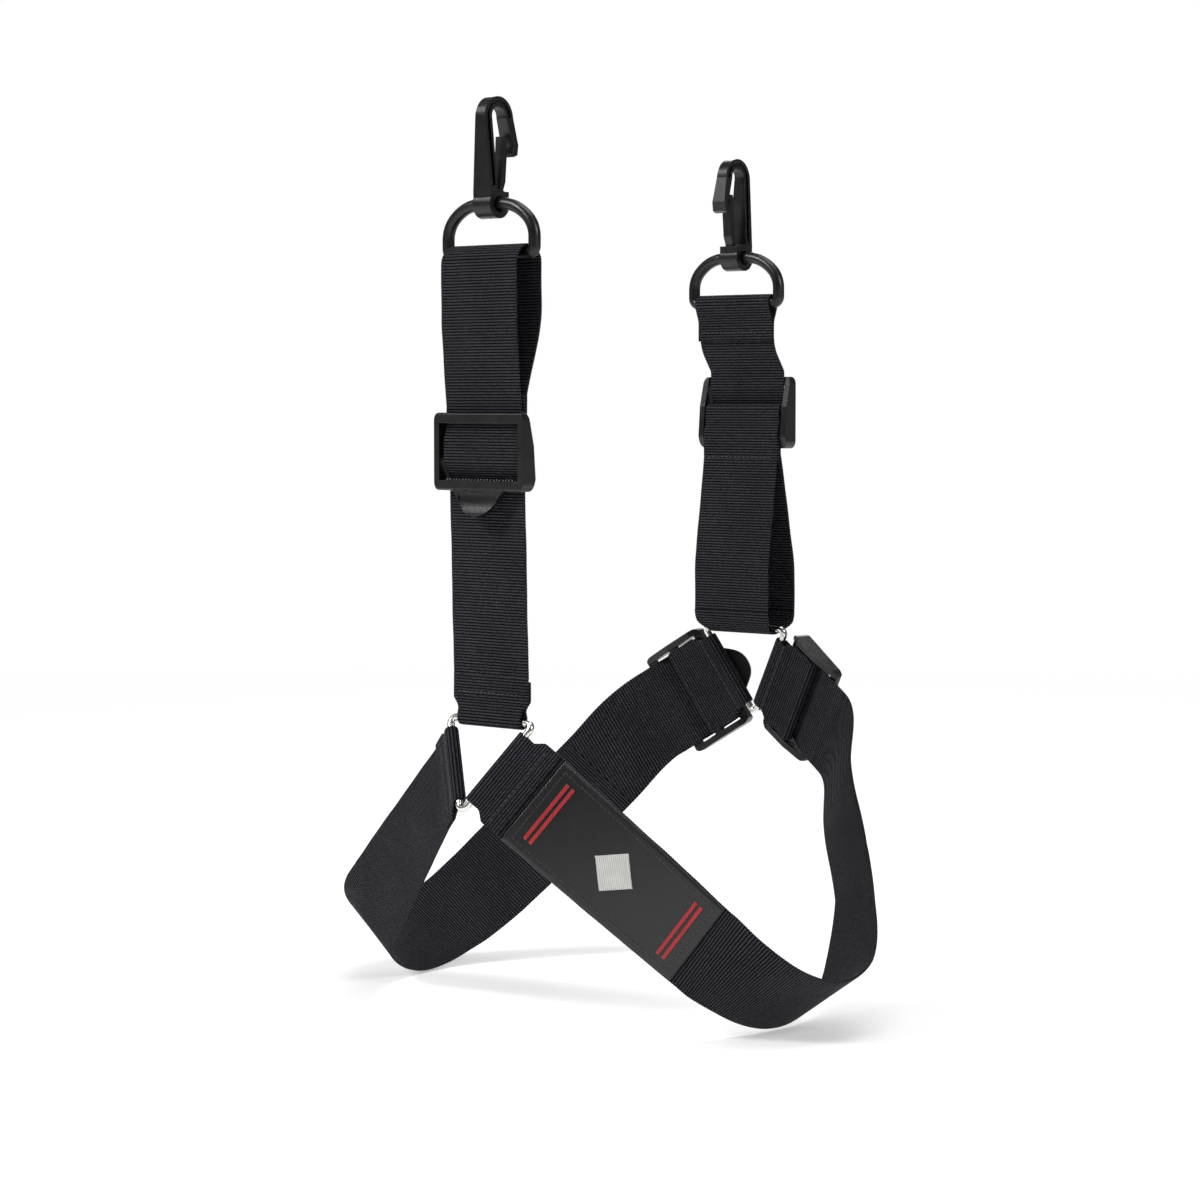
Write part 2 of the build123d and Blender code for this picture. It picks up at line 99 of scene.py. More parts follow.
LABEL_START, LABEL_LENGTH = 23.0, 106.0
STRAIGHT = 134.0             # the leg strap's flat run off the front ring
LEG_LEAD = 50.0              # webbing before a leg slider that follows it
LEG_TAIL = 20.5              # sewn end below a leg slider's middle
LABEL_HALF, LABEL_THICK, LABEL_LIFT = 24.5, 0.7, 0.06
BAR_ROWS, BAR_LENGTH, BAR_REACH = (9.0, 12.5), 1.8, 17.0
LOZENGE = 12.0
MOTIF_LIFT = 0.74            # embroidery starts just inside the label's face
HEADING, PITCH, LENS = 41.0, 3.72, 92.25      # the camera's, in degrees and mm
FLOOR_REACH = 7.0            # in metres, as is everything from the floor on

BACKWARDS, FORWARDS = Vector((0, 1, 0)), Vector((0, -1, 0))
RIGHT, LEFT = Vector((1, 0, 0)), Vector((-1, 0, 0))


# ---------------------------------------------------------------- routes of the webbing
THROUGH = [
    (MAIN_LOW, -22, 4), (MAIN_LOW, -13, 4), (MAIN_FRONT, -5.2, 3.5), (MAIN_FRONT, 5.2, 3.5),
    (MAIN_TOP, 12.5, 4), (MAIN_TOP, 22, 4)]
FROM_ABOVE = [
    (WRAP_BACK, 28, 4), (WRAP_BACK, -WRAP_END, WRAP_ROUND), (WRAP_FRONT, -WRAP_END, WRAP_ROUND),
    (WRAP_FRONT, WRAP_END, WRAP_ROUND), (TAIL, WRAP_END, 0.78), (TAIL, 27, 0)]
FROM_BELOW = [
    (STEP_END, -24, 4), (STEP_END, -11.2, 4), (WRAP_BACK + 0.05, -6, 4),
    (WRAP_BACK, WRAP_END, WRAP_ROUND), (WRAP_FRONT, WRAP_END, WRAP_ROUND),
    (WRAP_FRONT, -WRAP_END, WRAP_ROUND), (TAIL, -WRAP_END, 0.78),
    (TAIL, -7.2, 3), (STEP_TAIL, -12.2, 3), (STEP_TAIL, -27, 0)]


def shifted(corners, depth, along):
    return [(depth + d, along + a, r) for d, a, r in corners]


def fold_route(radius, side, end):
    near, turn_in = HALF + GAP / 2, radius + 6
    return [
        (-side * near, FOLD_END, 0), (-side * near, turn_in, 5), (-side * radius, 1.5, 5),
        (-side * radius, -radius, radius), (side * radius, -radius, radius),
        (side * radius, 1.5, 5), (side * near, turn_in, 5), (side * near, end, 0)]


def walk(corners):
    """Points and directions every STEP along straight runs and rounded corners."""
    points, turns = [], []

    def straight(a, b):
        count = max(1, round((b - a).length / STEP))
        for i in range(count):
            points.append(a.lerp(b, i / count))
            turns.append((b - a).normalized())

    here = Vector(corners[0][:2])
    for i in range(1, len(corners) - 1):
        before, corner, after = (Vector(c[:2]) for c in corners[i - 1:i + 2])
        into, out = (corner - before).normalized(), (after - corner).normalized()
        turn = atan2(into.x * out.y - into.y * out.x, into.dot(out))
        cut = corners[i][2] * tan(abs(turn) / 2)
        if (corner - into * cut - here).length > 1e-4:
            straight(here, corner - into * cut)
        radius, side = corners[i][2], 1 if turn > 0 else -1
        hub = corner - into * cut + Vector((-into.y, into.x)) * side * radius
        count = max(2, round(radius * abs(turn) / STEP))
        for k in range(count):
            angle = turn * k / count
            heading = Vector((into.x * cos(angle) - into.y * sin(angle),
                              into.x * sin(angle) + into.y * cos(angle)))
            points.append(hub + Vector((heading.y, -heading.x)) * side * radius)
            turns.append(heading)
        here = corner + out * cut
    last = Vector(corners[-1][:2])
    straight(here, last)
    points.append(last)
    turns.append((last - here).normalized())
    return points, turns


class Run:
    """Stations along a strap: middle, outward normal, across, and half width."""

    def __init__(self):
        self.middle, self.normal, self.across, self.half = [], [], [], []

    def add(self, middle, normal, across, half=WEBBING / 2):
        self.middle.append(middle.copy())
        self.normal.append(normal.normalized())
        self.across.append(across.normalized())
        self.half.append(half)

    def add_route(self, corners, origin, depth_dir, width_dir, rings=()):
        """A route drawn edge-on; the webbing gathers in where it rounds the rings' wires."""
        along_dir = width_dir.cross(depth_dir)
        points, turns = walk(corners)
        for p, t in zip(points, turns):
            narrow = 0.0
            for depth, along in rings:
                away = (p - Vector((depth, along))).length
                narrow = max(narrow, min(1.0, max(0.0, (11.0 - away) / 6.0)))
            normal = along_dir * t.x - depth_dir * t.y
            half = WEBBING / 2 - 0.15 - NARROWING * narrow * narrow * (3 - 2 * narrow)
            self.add(origin + depth_dir * p.x + along_dir * p.y, normal, width_dir, half)

    def nearest(self, point, first=0):
        gaps = [(m - point).length for m in self.middle[first:]]
        return first + int(np.argmin(gaps))

    def mirrored(self):
        other = Run()
        flip = Vector((-1, 1, 1))
        for m, n, a, h in zip(self.middle, self.normal, self.across, self.half):
            other.add(m * flip, n * flip, a * flip, h)
        return other


# ---------------------------------------------------------------- meshes
def to_frame(points):
    return (np.asarray(points, float) - np.array(ORIGIN)) * MM


def new_mesh(name, verts, faces, uvs=None, material=None):
    mesh = bpy.data.meshes.new(name)
    mesh.from_pydata([tuple(v) for v in verts], [], faces)
    mesh.validate()
    if uvs is not None:
        layer = mesh.uv_layers.new(name="weave")
        index = np.empty(len(mesh.loops), int)
        mesh.loops.foreach_get("vertex_index", index)
        layer.data.foreach_set("uv", np.asarray(uvs, np.float32)[index].ravel())
    mesh.polygons.foreach_set("use_smooth", [True] * len(mesh.polygons))
    piece = bpy.data.objects.new(name, mesh)
    bpy.context.scene.collection.objects.link(piece)
    if material:
        piece.data.materials.append(material)
    return piece


def grid_faces(rows, columns, flip=False):
    """Quads of a tube: rows along it, columns round it."""
    faces = []
    for i in range(rows - 1):
        for j in range(columns):
            k = (j + 1) % columns
            quad = (i * columns + j, i * columns + k, (i + 1) * columns + k, (i + 1) * columns + j)
            faces.append(quad[::-1] if flip else quad)
    return faces


ROUND_EDGE = ((0.0, 0.0), (0.08, 0.5), (0.3, 0.8), (0.8, 0.95), (1.6, 1.0))


def outline_across(half, inner=18):
    """Closed outline across the webbing: (offset across, share of half thickness)."""
    left = [(-half + inset, level) for inset, level in ROUND_EDGE]
    right = [(half - inset, level) for inset, level in ROUND_EDGE[::-1]]
    spread = [(-half + 1.6 + (2 * half - 3.2) * i / inner, 1.0) for i in range(1, inner)]
    front = left + spread + right
    back = [(x, -level) for x, level in front[1:-1]][::-1]
    return front + back


def ribbon(name, run, start, end, material, along=None, phase=0.0):
    """Ribbed webbing from one station to another of a run.

    Ribs are counted by length along the webbing or, if along is given, by place that way.
    """
    rng = np.random.default_rng(sum(ord(c) for c in name.split(".")[0]))
    verts, uvs = [], []
    distance = phase
    for i in range(start, end + 1):
        if along is not None:
            distance = (run.middle[i] - ORIGIN).dot(along)
        elif i > start:
            distance += (run.middle[i] - run.middle[i - 1]).length
        beat = cos(2 * pi * distance / RIB)
        level = HALF * (0.88 + 0.12 * beat)
        sway = 0.10 * sin(distance / 9.0) + 0.06 * sin(distance / 3.7 + 1.0)
        for x, share in outline_across(run.half[i] + 0.09 * beat):
            fuzz = rng.normal(0, 0.012) if abs(share) == 1.0 else 0.0
            point = run.middle[i] + run.across[i] * (x + sway)
            point = point + run.normal[i] * (level * share + fuzz)
            verts.append(point)
            uvs.append((distance / RIB, x / YARN + (0.5 if share < 0 else 0.0)))
    columns = len(outline_across(20.0))
    rows = end - start + 1
    faces = grid_faces(rows, columns)
    faces.append(tuple(range(columns))[::-1])
    faces.append(tuple((rows - 1) * columns + j for j in range(columns)))
    piece = new_mesh(name, to_frame(verts), faces, uvs, material)
    return piece, distance


def bead(points, radius, sides=6):
    """Verts and faces of a thin round thread through the points."""
    verts, faces = [], []
    count = len(points)
    for i, p in enumerate(points):
        ahead = points[min(i + 1, count - 1)] - points[max(i - 1, 0)]
        ahead.normalize()
        aside = ahead.orthogonal().normalized()
        up = ahead.cross(aside)
        share = 0.55 if i in (0, count - 1) else 1.0
        for j in range(sides):
            angle = 2 * pi * j / sides
            verts.append(p + (aside * cos(angle) + up * sin(angle)) * radius * share)
    faces += grid_faces(count, sides)
    faces.append(tuple(range(sides))[::-1])
    faces.append(tuple((count - 1) * sides + j for j in range(sides)))
    return verts, faces


def threads(name, paths, radius, material):
    """One piece made of many short threads."""
    verts, faces = [], []
    for path in paths:
        v, f = bead(path, radius)
        base = len(verts)
        verts += v
        faces += [tuple(base + k for k in face) for face in f]
    return new_mesh(name, to_frame(verts), faces, None, material)


def stitch_paths(middle, across, normal, along, span, pitch=2.9, length=2.3, rise=0.22, seed=1):
    """Paths of a row of lockstitches lying across the webbing."""
    rng = np.random.default_rng(seed)
    paths = []
    count = int(span / pitch)
    for i in range(count):
        x = (i - (count - 1) / 2) * pitch + rng.normal(0, 0.08)
        drift = rng.normal(0, 0.10)
        path = []
        for k in range(6):
            share = k / 5
            arch = rise * (1 - (2 * share - 1) ** 4) - 0.16
            path.append(middle + across * (x + (share - 0.5) * length)
                        + along * (drift + 0.12 * (share - 0.5)) + normal * arch)
        paths.append(path)
    return paths


def fray_paths(run, station, outward, seed, count=26):
    """Short loose yarn ends standing off a cut end of webbing."""
    rng = np.random.default_rng(seed)
    paths = []
    for _ in range(count):
        x = rng.uniform(-0.96, 0.96) * run.half[station]
        base = run.middle[station] + run.across[station] * x
        base = base + run.normal[station] * rng.uniform(-0.45, 0.45) - outward * 0.3
        lean = run.across[station] * rng.normal(0, 0.5) + run.normal[station] * rng.normal(0, 0.12)
        reach = rng.uniform(0.5, 1.5)
        paths.append([base + outward * reach * t + lean * t * t * reach for t in (0, 0.4, 0.75, 1.0)])
    return paths


# ---------------------------------------------------------------- materials
class Finish:
    """A node material built up from small steps."""

    def __init__(self, name):
        self.material = bpy.data.materials.new(name)
        self.material.use_nodes = True
        self.tree = self.material.node_tree
        self.tree.nodes.clear()
        self.output = self.tree.nodes.new("ShaderNodeOutputMaterial")
        self.surface = self.tree.nodes.new("ShaderNodeBsdfPrincipled")
        self.tree.links.new(self.surface.outputs[0], self.output.inputs[0])

    def node(self, kind, **values):
        node = self.tree.nodes.new(kind)
        for key, value in values.items():
            setattr(node, key, value)
        return node

    def feed(self, socket, value):
        if isinstance(value, bpy.types.NodeSocket):
            self.tree.links.new(value, socket)
        else:
            socket.default_value = value

    def sum(self, operation, a, b=0.0, c=0.0):
        node = self.node("ShaderNodeMath", operation=operation)
        for socket, value in zip(node.inputs, (a, b, c)):
            self.feed(socket, value)
        return node.outputs[0]

    def set(self, **values):
        for key, value in values.items():
            self.feed(self.surface.inputs[key.replace("_", " ")], value)

    def place(self, kind="Object"):
        return self.node("ShaderNodeTexCoord").outputs[kind]

    def noise(self, where, scale, detail=3.0, rough=0.55):
        node = self.node("ShaderNodeTexNoise")
        self.feed(node.inputs["Vector"], where)
        node.inputs["Scale"].default_value = scale
        node.inputs["Detail"].default_value = detail
        node.inputs["Roughness"].default_value = rough
        return node.outputs["Fac"]

    def blend(self, share, low, high):
        node = self.node("ShaderNodeMix", data_type="RGBA")
        self.feed(node.inputs[0], share)
        self.feed(node.inputs[6], low)
        self.feed(node.inputs[7], high)
        return node.outputs[2]

    def span(self, value, low, high, to_low=0.0, to_high=1.0):
        node = self.node("ShaderNodeMapRange")
        for i, v in enumerate((value, low, high, to_low, to_high)):
            self.feed(node.inputs[i], v)
        return node.outputs[0]

    def bump(self, height, distance, strength=1.0, normal=None):
        node = self.node("ShaderNodeBump")
        node.inputs["Strength"].default_value = strength
        node.inputs["Distance"].default_value = distance
        self.feed(node.inputs["Height"], height)
        if normal is not None:
            self.feed(node.inputs["Normal"], normal)
        return node.outputs[0]

    def soft_edges(self, radius):
        node = self.node("ShaderNodeBevel")
        node.samples = 4
        node.inputs["Radius"].default_value = radius
        return node.outputs[0]


def grey(value, blue=0.0):
    return (value, value, value * (1 + blue), 1)


def webbing_finish(name, along=None, dark=0.0016, light=0.095, shine=0.3):
    """Ribbed woven webbing: cords across, yarns wrapping over them in a zigzag. Its colour holds painted
    light: painted shade darkens the valleys between the ribs, and a painted highlight lightens the yarn
    dashes on the rib crests.

    Webbing that feeds through a slider keeps its rib pitch however far it is drawn out:
    its ribs are counted by place along the strap instead of by the mesh.
    """
    f = Finish(name)
    parts = f.node("ShaderNodeSeparateXYZ")
    f.feed(parts.inputs[0], f.place("UV"))
    u, v = parts.outputs[0], parts.outputs[1]
    where = f.place("Object")
    if along is not None:
        count = f.node("ShaderNodeVectorMath", operation="DOT_PRODUCT")
        f.feed(count.inputs[0], where)
        count.inputs[1].default_value = along / (RIB * MM)
        u = count.outputs["Value"]
    wave = f.sum("SINE", f.sum("MULTIPLY", f.sum("ADD", u, 0.5), pi))
    rib = f.sum("POWER", f.sum("ABSOLUTE", wave), 0.7)
    cell = f.sum("FRACT", u)
    parity = f.sum("SUBTRACT", f.sum("MULTIPLY", f.sum("FLOORED_MODULO", f.sum("FLOOR", u), 2.0), 2.0), 1.0)
    lean = f.sum("MULTIPLY", f.sum("MULTIPLY", f.sum("SUBTRACT", cell, 0.5), parity), 0.55)
    wander = f.sum("MULTIPLY", f.sum("SUBTRACT", f.noise(where, 260.0, 2.0), 0.5), 0.9)
    across = f.sum("ADD", f.sum("ADD", v, lean), f.sum("ADD", wander, f.sum("MULTIPLY", parity, 0.25)))
    yarn = f.sum("MULTIPLY_ADD", f.sum("COSINE", f.sum("MULTIPLY", across, 2 * pi)), 0.5, 0.5)
    fibre = f.noise(where, 5200.0, 2.0, 0.7)
    blotch = f.noise(where, 38.0, 4.0)
    speck = f.noise(where, 900.0, 2.0)
    height = f.sum("ADD", f.sum("MULTIPLY", rib, 0.55),
                   f.sum("MULTIPLY", f.sum("MULTIPLY", yarn, rib), 0.35))
    height = f.sum("ADD", height, f.sum("MULTIPLY", fibre, 0.10))
    crest = f.sum("POWER", rib, 2.6)
    dash = f.span(f.sum("ADD", yarn, f.span(speck, 0.3, 0.7, -0.25, 0.25)), 0.35, 1.0)
    # glint is a painted highlight: light grey dashes on the rib crests where the yarns cross them
    glint = f.sum("MULTIPLY", f.sum("MULTIPLY", crest, dash), f.span(blotch, 0.3, 0.7, 0.65, 1.0))
    # body paints shade: darker in the valleys between the ribs, lighter on the crests
    body = f.blend(crest, grey(dark * 0.4, 0.2), grey(dark * 2.4, 0.45))
    # light is the grey of that painted highlight
    base = f.blend(glint, body, grey(light, 0.28))
    f.set(Base_Color=base, Roughness=f.span(glint, 0.0, 1.0, 0.8, 0.5),
          Specular_IOR_Level=f.span(crest, 0.0, 1.0, 0.02, shine),
          Sheen_Weight=0.015, Sheen_Roughness=0.4, Normal=f.bump(height, 0.0005))
    return f.material


def thread_finish(name, dark, light, gloss=0.45):
    """Twisted thread: fine bands and a soft lustre."""
    f = Finish(name)
    where = f.place("Object")
    ply = f.node("ShaderNodeTexWave", wave_type="BANDS", bands_direction="DIAGONAL")
    f.feed(ply.inputs["Vector"], where)
    ply.inputs["Scale"].default_value = 900.0
    ply.inputs["Distortion"].default_value = 2.0
    tone = f.sum("MULTIPLY", ply.outputs["Fac"], f.span(f.noise(where, 500.0), 0.3, 0.7, 0.6, 1.0))
    f.set(Base_Color=f.blend(tone, dark, light), Roughness=gloss, Sheen_Weight=0.2,
          Normal=f.bump(ply.outputs["Fac"], 0.00012, 0.7))
    return f.material


def plastic_finish(name):
    """Black moulded acetal: fine spark grain, satin edges, faint scuffs and dust."""
    f = Finish(name)
    where = f.place("Object")
    grain = f.noise(where, 4200.0, 3.0, 0.6)
    flow = f.noise(where, 120.0, 5.0)
    scuff = f.node("ShaderNodeTexVoronoi", feature="DISTANCE_TO_EDGE")
    f.feed(scuff.inputs["Vector"], where)
    scuff.inputs["Scale"].default_value = 240.0
    scratch = f.sum("LESS_THAN", scuff.outputs["Distance"], 0.012)
    faint = f.sum("MULTIPLY", scratch, f.span(flow, 0.5, 0.75, 0.0, 0.6))
    worn = f.sum("MAXIMUM", f.span(grain, 0.35, 0.8, 0.0, 0.5), faint)
    base = f.blend(worn, grey(0.0025, 0.2), grey(0.009, 0.25))
    rough = f.sum("ADD", f.span(flow, 0.3, 0.7, 0.26, 0.38), f.sum("MULTIPLY", faint, 0.15))
    f.set(Base_Color=base, Roughness=rough, Specular_IOR_Level=0.45,
          Normal=f.bump(grain, 0.00006, 0.8, f.soft_edges(0.0005)))
    return f.material


def nickel_finish(name):
    """Bright nickel-plated wire: tiny pits and rubbed patches."""
    f = Finish(name)
    where = f.place("Object")
    pits = f.noise(where, 2600.0, 3.0, 0.65)
    rubbed = f.noise(where, 90.0, 4.0)
    tint = f.blend(f.span(rubbed, 0.35, 0.7), (0.72, 0.70, 0.67, 1), (0.86, 0.85, 0.83, 1))
    f.set(Base_Color=tint, Metallic=1.0, Roughness=f.span(rubbed, 0.3, 0.75, 0.13, 0.30),
          Normal=f.bump(pits, 0.00003, 0.5))
    return f.material


def cloth_finish(name, dark, light, lines=7.0, sheen=0.2, rough=0.5):
    """Close diagonal twill for the label, or satin stitch for its embroidery."""
    f = Finish(name)
    parts = f.node("ShaderNodeSeparateXYZ")
    f.feed(parts.inputs[0], f.place("UV"))
    u, v = parts.outputs[0], parts.outputs[1]
    where = f.place("Object")
    slant = f.sum("ADD", f.sum("MULTIPLY", u, lines), f.sum("MULTIPLY", v, lines * 0.6))
    slant = f.sum("ADD", slant, f.sum("MULTIPLY", f.noise(where, 700.0), 1.6))
    ridge = f.sum("MULTIPLY_ADD", f.sum("SINE", slant), 0.5, 0.5)
    shade = f.sum("MULTIPLY", ridge, f.span(f.noise(where, 150.0, 4.0), 0.3, 0.7, 0.55, 1.0))
    f.set(Base_Color=f.blend(shade, dark, light), Roughness=rough, Sheen_Weight=sheen,
          Sheen_Roughness=0.4, Normal=f.bump(f.sum("ADD", ridge, f.noise(where, 3000.0)), 0.00010, 0.8))
    return f.material


webbing = webbing_finish("black_webbing")
upright = Vector((0, 0, 1))
strap_feed = (webbing_finish("black_webbing_fed_upright", upright), upright)
black_thread = thread_finish("black_thread", grey(0.004), grey(0.035))
frayed_yarn = thread_finish("frayed_yarn", grey(0.02), grey(0.10), 0.6)
plastic = plastic_finish("black_plastic")
nickel = nickel_finish("nickel_wire")
label_cloth = cloth_finish("label_twill", grey(0.0008, 0.2), grey(0.008, 0.3), 7.0, 0.03, 0.34)
red_stitch = cloth_finish("red_embroidery", (0.22, 0.004, 0.008, 1), (0.62, 0.016, 0.022, 1), 5.5, 0.1)
pale_stitch = cloth_finish("pale_embroidery", (0.42, 0.42, 0.40, 1), (0.78, 0.78, 0.75, 1), 5.5)


# ---------------------------------------------------------------- the front strap
def cut_in_pieces(prefix, run, cuts, feed, replaced_by=None, replaced=()):
    """Pieces between cut stations; each cut is (station, the body the piece up to it moves with), and a
    piece given a pair of bodies stays fixed in place.

    feed is the finish, and the direction ribs are counted in, for webbing that feeds.
    """
    start, phase = 0, 0.0
    for number, (end, how) in enumerate(cuts):
        rides = isinstance(how, str)
        material, along = (webbing, None) if rides else feed
        piece, phase = ribbon(f"{prefix}_{number + 1}", run, start, end, material, along, phase)
        if rides:
            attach(piece, how)
        else:
            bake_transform(piece)
        if number == replaced_by:
            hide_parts(*replaced)
        start = end


def at_front(depth, along):
    return Vector((0, depth, along))


def at_rear(depth, along):
    return REAR_RING + Vector((0, -depth, along))


front = Run()
fold = fold_route(FOLD_RADIUS, -1, FOLD_END + 4)
fold[-1] = fold[-1][:2] + (40,)
depth, height = FRONT_SLIDER
front_top = FRONT_BAR + D_WIRE + WRAP
front.add_route(
    fold + shifted(THROUGH, depth, height)
    + [(-FRONT_GAP, height + 62, 60), (-FRONT_GAP, front_top, FRONT_GAP),
       (FRONT_GAP, front_top, FRONT_GAP), (FRONT_GAP, height + 62, 60)]
    + shifted(FROM_ABOVE, depth, height),
    Vector((0, 0, 0)), BACKWARDS, RIGHT, rings=[(0, 0)])
last = len(front.middle) - 1
near = HALF + GAP / 2
a = front.nearest(at_front(-near, 22), 60)
b = front.nearest(at_front(depth + MAIN_LOW, height - 19), a)
c = front.nearest(at_front(depth + MAIN_TOP, height + 20), b)
d = front.nearest(at_front(-FRONT_GAP, FRONT_BAR - 3), c)
e = front.nearest(at_front(FRONT_GAP, FRONT_BAR - 3), d)
g = front.nearest(at_front(depth + WRAP_BACK, height + 26), e)
cut_in_pieces("front_webbing", front, [
    (a, "front_fold"), (b, ("front_fold", "front_slider_set")), (c, "front_slider_set"),
    (d, ("front_slider_set", "front_loop")), (e, "front_loop"),
    (g, ("front_loop", "front_slider_set")), (last, "front_slider_set")], strap_feed, 4, ["front_strap"])

# ---------------------------------------------------------------- the rear strap
rear = Run()
depth, height = REAR_SLIDER
radius = D_WIRE + WRAP
fold = [
    (REAR_DEPTH + near, REAR_BAR - FOLD_END, 0), (REAR_DEPTH + near, REAR_BAR - radius - 6, 5),
    (REAR_DEPTH + radius, REAR_BAR - 1.5, 5), (REAR_DEPTH + radius, REAR_BAR + radius, radius),
    (REAR_DEPTH - radius, REAR_BAR + radius, radius), (REAR_DEPTH - radius, REAR_BAR - 1.5, 5),
    (REAR_DEPTH - near, REAR_BAR - radius - 6, 5), (REAR_DEPTH - near, REAR_BAR - FOLD_END - 3, 20)]
rear.add_route(
    fold + shifted(THROUGH[::-1], depth, height)
    + [(-REAR_GAP, 34, 60), (-REAR_GAP, -FOLD_RADIUS, REAR_GAP),
       (REAR_GAP, -FOLD_RADIUS, REAR_GAP), (REAR_GAP, 34, 60)]
    + shifted(FROM_BELOW, depth, height),
    REAR_RING, FORWARDS, LEFT, rings=[(0, 0)])
last = len(rear.middle) - 1
a = rear.nearest(at_rear(REAR_DEPTH - near, REAR_BAR - FOLD_END - 1), 60)
b = rear.nearest(at_rear(depth + MAIN_TOP, height + 20), a)
c = rear.nearest(at_rear(depth + MAIN_LOW, height - 19), b)
d = rear.nearest(at_rear(-REAR_GAP, 9), c)
e = rear.nearest(at_rear(REAR_GAP, 9), d)
g = rear.nearest(at_rear(depth + STEP_END, height - 24), e)
cut_in_pieces("rear_webbing", rear, [
    (a, "rear_fold"), (b, ("rear_fold", "rear_slider_set")), (c, "rear_slider_set"),
    (d, ("rear_slider_set", "rear_loop")), (e, "rear_loop"),
    (g, ("rear_loop", "rear_slider_set")), (last, "rear_slider_set")], strap_feed, 4, ["rear_strap"])


# ---------------------------------------------------------------- the leg straps
def ring_side(top, plane, swing):
    """Middle of a ring's right side, the strap's direction off it, and across the webbing."""
    upper = top + Vector((RING_SIDE / 2, 0, 0))
    lower = top - RIGHT.cross(plane).normalized() * RING_HEIGHT
    across = (upper - lower).normalized()
    outward = across.cross(plane).normalized()
    if outward.x < 0:
        outward = -outward
    along = outward * cos(radians(swing)) + plane * sin(radians(swing))
    return (upper + lower) / 2, along.normalized(), across


front_plane = Vector((0, cos(radians(FRONT_TILT)), -sin(radians(FRONT_TILT))))
rear_plane = Vector((0, cos(radians(REAR_TILT)), sin(radians(REAR_TILT))))
front_side, front_along, front_across = ring_side(Vector((0, 0, 0)), front_plane, FRONT_SWING)
rear_side, rear_along, rear_across = ring_side(REAR_RING, rear_plane, -REAR_SWING)
front_outer = front_along.cross(front_across).normalized()
rear_inner = rear_along.cross(rear_across).normalized()
RING_DROP = 24.0              # slider's middle to the rear ring's side
RING_DEPTH = MAIN_LOW + FOLD_RADIUS
slider_at = rear_side + rear_along * RING_DROP - rear_inner * RING_DEPTH
TWIST = Vector((0.82, 0.15, 0.56)).normalized()
STATIONS = [
    ((137, 72, -134), (0.83, 0.06, 0.55)), ((136, 103, -128), (0.81, -0.02, 0.58)),
    ((122, 131, -106), (0.72, -0.20, 0.66)), ((107, 151, -82), (0.62, -0.33, 0.71)),
    ((78, 178, -42), (0.60, -0.36, 0.71))]


def straight_at(distance):
    """Middle, normal and across on the straight front run, which twists slightly."""
    share = (distance - FOLD_END) / (STRAIGHT - FOLD_END)
    across = front_across * (1 - share) + TWIST * share
    across = (across - front_along * across.dot(front_along)).normalized()
    middle = front_side + front_along * distance - front_outer * (HALF + GAP / 2)
    return middle, front_along.cross(across), across


def smooth_curve(points):
    """Natural cubic spline through points: a function from 0..1, and each point's share."""
    p = np.array([tuple(q) for q in points])
    t = np.concatenate([[0], np.cumsum(np.linalg.norm(np.diff(p, axis=0), axis=1))])
    h = np.diff(t)
    n = len(p)
    matrix, right = np.eye(n), np.zeros((n, 3))
    for i in range(1, n - 1):
        matrix[i, i - 1:i + 2] = h[i - 1], 2 * (h[i - 1] + h[i]), h[i]
        right[i] = 6 * ((p[i + 1] - p[i]) / h[i] - (p[i] - p[i - 1]) / h[i - 1])
    bend = np.linalg.solve(matrix, right)

    def at(x):
        i = min(max(int(np.searchsorted(t, x)) - 1, 0), n - 2)
        a, b = t[i + 1] - x, x - t[i]
        value = (bend[i] * a ** 3 + bend[i + 1] * b ** 3) / (6 * h[i])
        value = value + (p[i] / h[i] - bend[i] * h[i] / 6) * a
        value = value + (p[i + 1] / h[i] - bend[i + 1] * h[i] / 6) * b
        return Vector(value)
    return at, t


def leg_run():
    """The right leg strap's run, and the station where it reaches its slider."""
    run = Run()
    run.add_route(fold_route(FOLD_RADIUS, -1, FOLD_END), front_side, front_outer, front_across,
                  rings=[(0, 0)])
    distance = FOLD_END + STEP
    while distance < STRAIGHT - STEP / 2:
        middle, normal, across = straight_at(distance)
        run.add(middle, normal, across, WEBBING / 2 - 0.15)
        distance += STEP
    arrive = slider_at + rear_along * 24 + rear_inner * MAIN_TOP
    first = straight_at(STRAIGHT)[0]
    points = [first - front_along * 16, first, first + front_along * 8]
    points += [Vector(p) for p, _ in STATIONS] + [arrive + rear_along * 8, arrive, arrive - rear_along * 8]
    turns = [TWIST, TWIST, TWIST] + [Vector(q).normalized() for _, q in STATIONS] + [rear_across] * 3
    at, t = smooth_curve(points)
    count = int((t[-2] - t[1]) / STEP)
    for k in range(1, count):
        x = t[1] + (t[-2] - t[1]) * k / count
        i = int(np.searchsorted(t, x)) - 1
        share = (x - t[i]) / (t[i + 1] - t[i])
        heading = (at(x + 0.2) - at(x - 0.2)).normalized()
        across = turns[i] * (1 - share) + turns[i + 1] * share
        across = (across - heading * across.dot(heading)).normalized()
        run.add(at(x), heading.cross(across), across, WEBBING / 2 - 0.15)
    reached = len(run.middle)
    right, low = RING_DEPTH + FOLD_RADIUS, -RING_DROP - FOLD_RADIUS
    route = [(MAIN_TOP, 24, 0)] + THROUGH[-2:0:-1]
    route += [(MAIN_LOW, low, FOLD_RADIUS), (right, low, FOLD_RADIUS), (right, 1.5 - RING_DROP, 3),
              (WRAP_BACK + 0.05, -5.0, 4)] + FROM_BELOW[3:-1] + [(STEP_TAIL, -LEG_TAIL, 0)]
    run.add_route(route, slider_at, rear_inner, rear_across, rings=[(RING_DEPTH, -RING_DROP)])
    return run, reached


leg_up = rear_across.cross(rear_inner)


def on_slider(depth, along):
    """A point in the leg slider's own depth and length."""
    return slider_at + rear_inner * depth + leg_up * along


